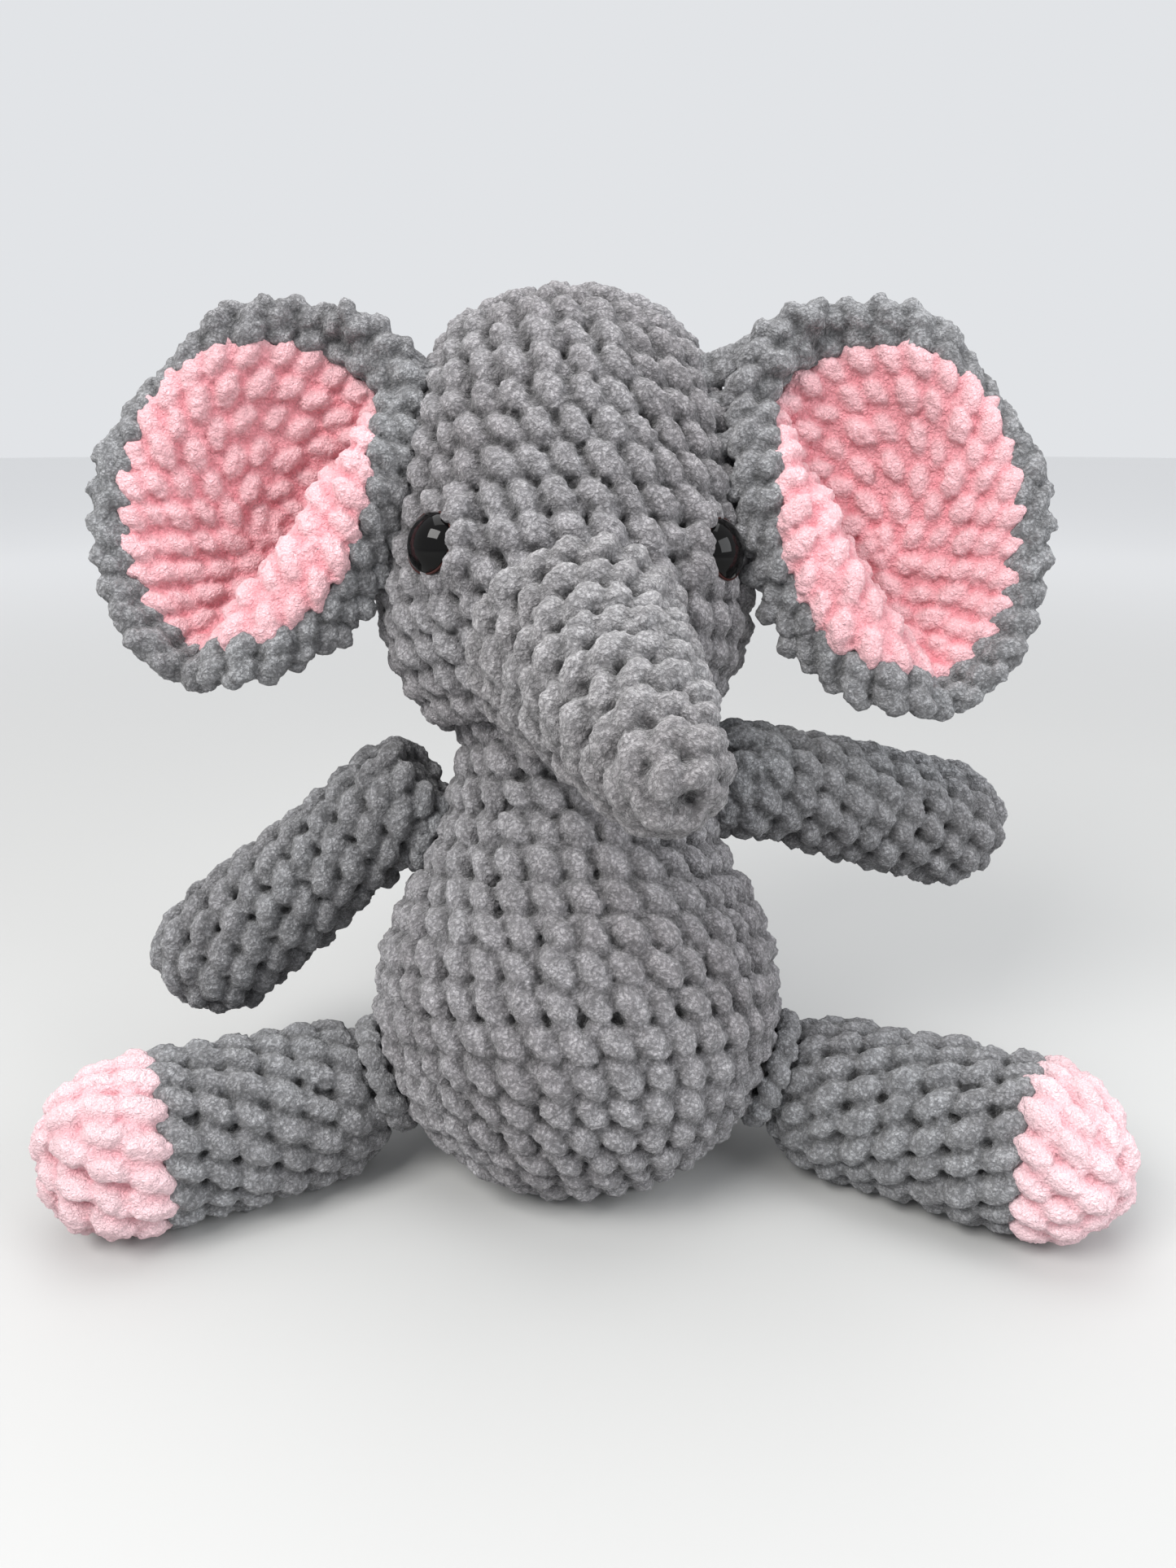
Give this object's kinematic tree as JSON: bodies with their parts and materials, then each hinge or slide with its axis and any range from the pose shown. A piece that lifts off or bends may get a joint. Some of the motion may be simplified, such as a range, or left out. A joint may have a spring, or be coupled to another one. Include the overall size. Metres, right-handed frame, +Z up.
{
  "type": "stuffed elephant",
  "caption": "Sitting crocheted plush elephant with cupped pink-lined ears, a sewn-on trunk, soft arms and pink-soled legs, safety eyes.",
  "frame": {"origin": "centre of the flat patch that the body sits on, on the floor", "axes": "+Z up, -Y the way the toy faces, +X towards the toy's own left hand"},
  "size_m": [0.4273, 0.2649, 0.3573],
  "materials": {
    "grey_yarn": "chenille crochet",
    "slate_yarn": "chenille crochet",
    "pink_yarn": "chenille crochet",
    "fibre_stuffing": "loose polyester fibre",
    "eye_plastic": "gloss",
    "washer_plastic": "matte"
  },
  "bodies": {
    "torso": {"body_cover": "grey_yarn", "body_stuffing": "fibre_stuffing"},
    "neck": {"neck_stuffing": "fibre_stuffing"},
    "head": {"head_cover": "grey_yarn", "head_stuffing": "fibre_stuffing", "neck_seam": "grey_yarn", "trunk_seam": "grey_yarn", "left_safety_eye": "eye_plastic", "left_eye_washer": "washer_plastic", "left_ear_seam": "grey_yarn", "right_safety_eye": "eye_plastic", "right_eye_washer": "washer_plastic", "right_ear_seam": "grey_yarn"},
    "trunk": {"trunk_cover": "grey_yarn", "trunk_stuffing": "fibre_stuffing"},
    "left_ear": {"left_ear_back": "slate_yarn", "left_ear_lining": "pink_yarn", "left_ear_rim": "slate_yarn"},
    "left_shoulder": {"left_shoulder_seam": "grey_yarn"},
    "left_arm": {"left_arm_cover": "slate_yarn", "left_arm_stuffing": "fibre_stuffing"},
    "left_hip": {"left_hip_seam": "grey_yarn"},
    "left_leg": {"left_leg_cover": "slate_yarn", "left_foot_sole": "pink_yarn", "left_leg_stuffing": "fibre_stuffing"},
    "right_ear": {"right_ear_back": "slate_yarn", "right_ear_lining": "pink_yarn", "right_ear_rim": "slate_yarn"},
    "right_shoulder": {"right_shoulder_seam": "grey_yarn"},
    "right_arm": {"right_arm_cover": "slate_yarn", "right_arm_stuffing": "fibre_stuffing"},
    "right_hip": {"right_hip_seam": "grey_yarn"},
    "right_leg": {"right_leg_cover": "slate_yarn", "right_foot_sole": "pink_yarn", "right_leg_stuffing": "fibre_stuffing"}
  },
  "joints": [
    {"name": "head_turn", "type": "hinge", "parent": "torso", "child": "neck", "pos_m": [0, 0.02544, 0.1572], "axis": [0, 0.2924, 0.9563], "range_deg": [-35, 35], "stiffness_Nm_per_rad": 0.5},
    {"name": "head_nod", "type": "hinge", "parent": "neck", "child": "head", "pos_m": [0, 0.02544, 0.1572], "axis": [1, 0, 0], "range_deg": [-12, 14], "stiffness_Nm_per_rad": 0.8},
    {"name": "trunk_lift", "type": "hinge", "parent": "head", "child": "trunk", "pos_m": [0.00321, -0.03573, 0.22431], "axis": [1, 0, 0], "range_deg": [-22, 10], "stiffness_Nm_per_rad": 0.25},
    {"name": "left_ear_flap", "type": "hinge", "parent": "head", "child": "left_ear", "pos_m": [0.0688, 0.03627, 0.26787], "axis": [-0.225, 0.2849, 0.9318], "range_deg": [-12, 30], "stiffness_Nm_per_rad": 0.12},
    {"name": "left_arm_swing", "type": "hinge", "parent": "torso", "child": "left_shoulder", "pos_m": [0.0795, 0.03051, 0.15669], "axis": [0.9587, 0.1389, 0.2482], "range_deg": [-40, 15], "stiffness_Nm_per_rad": 0.12},
    {"name": "left_arm_raise", "type": "hinge", "parent": "left_shoulder", "child": "left_arm", "pos_m": [0.0795, 0.03051, 0.15669], "axis": [0.2204, -0.9145, -0.3394], "range_deg": [-30, 6], "stiffness_Nm_per_rad": 0.18},
    {"name": "left_leg_turn", "type": "hinge", "parent": "torso", "child": "left_hip", "pos_m": [0.1114, -0.0162, 0.032], "axis": [-0.9272, 0.1348, 0.3496], "range_deg": [-10, 28], "stiffness_Nm_per_rad": 0.25},
    {"name": "left_leg_spread", "type": "hinge", "parent": "left_hip", "child": "left_leg", "pos_m": [0.1114, -0.0162, 0.032], "axis": [0, 0, -1], "range_deg": [-20, 20], "stiffness_Nm_per_rad": 0.25},
    {"name": "right_ear_flap", "type": "hinge", "parent": "head", "child": "right_ear", "pos_m": [-0.0774, 0.03831, 0.27456], "axis": [-0.225, -0.2849, -0.9318], "range_deg": [-12, 30], "stiffness_Nm_per_rad": 0.12},
    {"name": "right_arm_swing", "type": "hinge", "parent": "torso", "child": "right_shoulder", "pos_m": [-0.0825, 0.02509, 0.1458], "axis": [0.9032, -0.1566, -0.3997], "range_deg": [-40, 30], "stiffness_Nm_per_rad": 0.12},
    {"name": "right_arm_raise", "type": "hinge", "parent": "right_shoulder", "child": "right_arm", "pos_m": [-0.0825, 0.02509, 0.1458], "axis": [0.0947, 0.9808, -0.1702], "range_deg": [-12, 45], "stiffness_Nm_per_rad": 0.18},
    {"name": "right_leg_turn", "type": "hinge", "parent": "torso", "child": "right_hip", "pos_m": [-0.1106, -0.0214, 0.032], "axis": [-0.9199, -0.178, -0.3493], "range_deg": [-10, 28], "stiffness_Nm_per_rad": 0.25},
    {"name": "right_leg_spread", "type": "hinge", "parent": "right_hip", "child": "right_leg", "pos_m": [-0.1106, -0.0214, 0.032], "axis": [0, 0, 1], "range_deg": [-20, 20], "stiffness_Nm_per_rad": 0.25}
  ]
}
